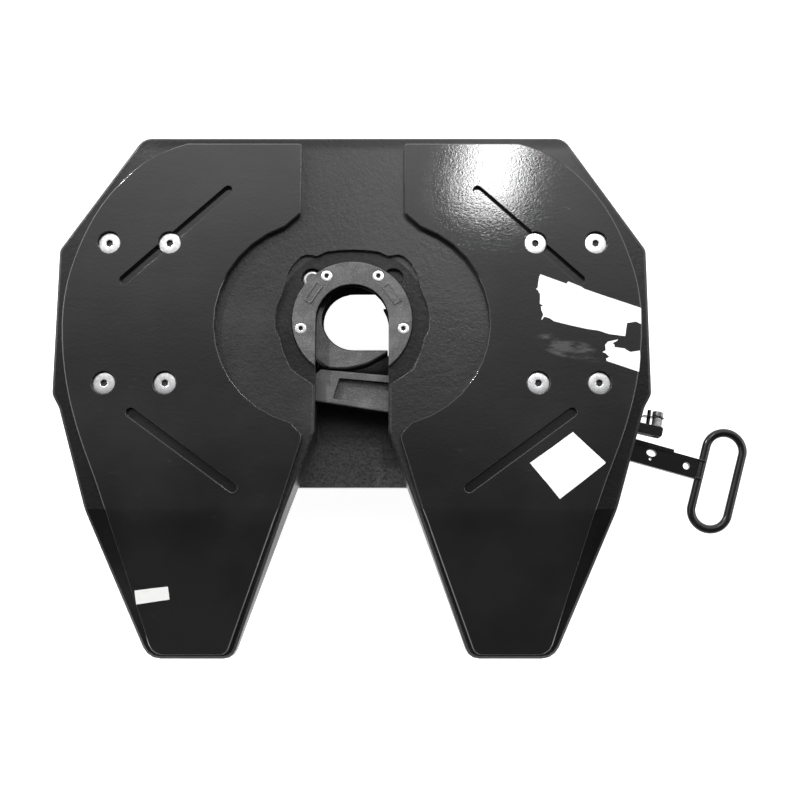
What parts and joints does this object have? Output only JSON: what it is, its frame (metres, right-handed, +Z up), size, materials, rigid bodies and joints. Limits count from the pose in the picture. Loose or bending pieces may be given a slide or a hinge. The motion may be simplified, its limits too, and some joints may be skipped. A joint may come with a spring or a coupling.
{
  "type": "fifth wheel coupling",
  "caption": "Cast fifth wheel coupling with bolted liners, a sliding lock bar that frees a hooked lock jaw, a side release handle with a hand loop, and rubber-cushioned mounting brackets.",
  "frame": {"origin": "Middle of the footprint on the ground: the centre of the bounding box seen from above, at the height of the brackets' undersides.", "axes": "+Z up, +Y to the front of the vehicle, +X to the side where the release handle comes out. The kingpin's axis stands at x = -0.0822 m, y = 0.1125 m."},
  "size_m": [1.1202, 0.847, 0.225],
  "materials": {
    "casting_paint": "satin black coating over a fine cast surface",
    "liner_polymer": "smooth satin black polymer",
    "lock_metal": "dark grey forged surface",
    "zinc_plate": "bright zinc",
    "bush_bronze": "plain bearing bronze",
    "rubber": "matt black rubber",
    "spring_steel": "oiled spring wire",
    "painted_steel": "satin black paint"
  },
  "bodies": {
    "stand": {"bracket_left": "casting_paint", "bracket_right": "casting_paint", "cushion_left": "rubber", "cushion_right": "rubber"},
    "coupling_plate": {"top_plate": "casting_paint", "liner_left": "liner_polymer", "liner_right": "liner_polymer", "wear_ring": "lock_metal", "jaw_pivot_pin": "lock_metal", "jaw_pin_keeper": "painted_steel", "stop_screw": "zinc_plate", "stop_nut": "zinc_plate", "stop_plate": "zinc_plate", "stop_guide": "painted_steel", "strap_right": "painted_steel", "strap_left": "painted_steel", "lock_bar_spring": "spring_steel", "liner_screw_1": "zinc_plate", "liner_screw_2": "zinc_plate", "liner_screw_3": "zinc_plate", "liner_screw_4": "zinc_plate", "liner_screw_5": "zinc_plate", "liner_screw_6": "zinc_plate", "liner_screw_7": "zinc_plate", "liner_screw_8": "zinc_plate", "wear_ring_screw_1": "zinc_plate", "wear_ring_screw_2": "zinc_plate", "wear_ring_screw_3": "zinc_plate", "wear_ring_screw_4": "zinc_plate", "keeper_screw_1": "zinc_plate", "keeper_screw_2": "zinc_plate", "strap_bolt_1": "zinc_plate", "strap_bolt_2": "zinc_plate", "strap_bolt_3": "zinc_plate", "strap_bolt_4": "zinc_plate", "strap_washer_1": "zinc_plate", "strap_washer_2": "zinc_plate", "strap_washer_3": "zinc_plate", "strap_washer_4": "zinc_plate"},
    "lock_jaw": {"lock_jaw": "lock_metal", "jaw_bush": "bush_bronze"},
    "lock_bar": {"lock_bar": "lock_metal", "handle_pivot_pin": "zinc_plate", "handle_pin_washer": "zinc_plate"},
    "release_handle": {"release_handle": "painted_steel", "catch_plate": "painted_steel"}
  },
  "joints": [
    {"name": "plate_pitch", "type": "hinge", "parent": "stand", "child": "coupling_plate", "pos_m": [-0.08223, 0.1125, 0.135], "axis": [1, 0, 0], "range_deg": [-12, 12]},
    {"name": "lock_bar_slide", "type": "slide", "parent": "coupling_plate", "child": "lock_bar", "axis": [0.988, -0.1547, 0], "range_m": [0, 0.175], "stiffness_N_per_m": 350, "springref_m": -0.1, "deforming": ["lock_bar_spring"]},
    {"name": "lock_jaw_pivot", "type": "hinge", "parent": "coupling_plate", "child": "lock_jaw", "pos_m": [-0.14823, 0.1825, 0.164], "axis": [0, 0, -1], "range_deg": [0, 40]},
    {"name": "handle_swing", "type": "hinge", "parent": "lock_bar", "child": "release_handle", "pos_m": [0.15377, -0.03196, 0.164], "axis": [0, 0, 1], "range_deg": [0, 12]}
  ],
  "couplings": [
    {"joint": "lock_jaw_pivot", "follows": "lock_bar_slide", "rad_per_m": 3.989}
  ]
}
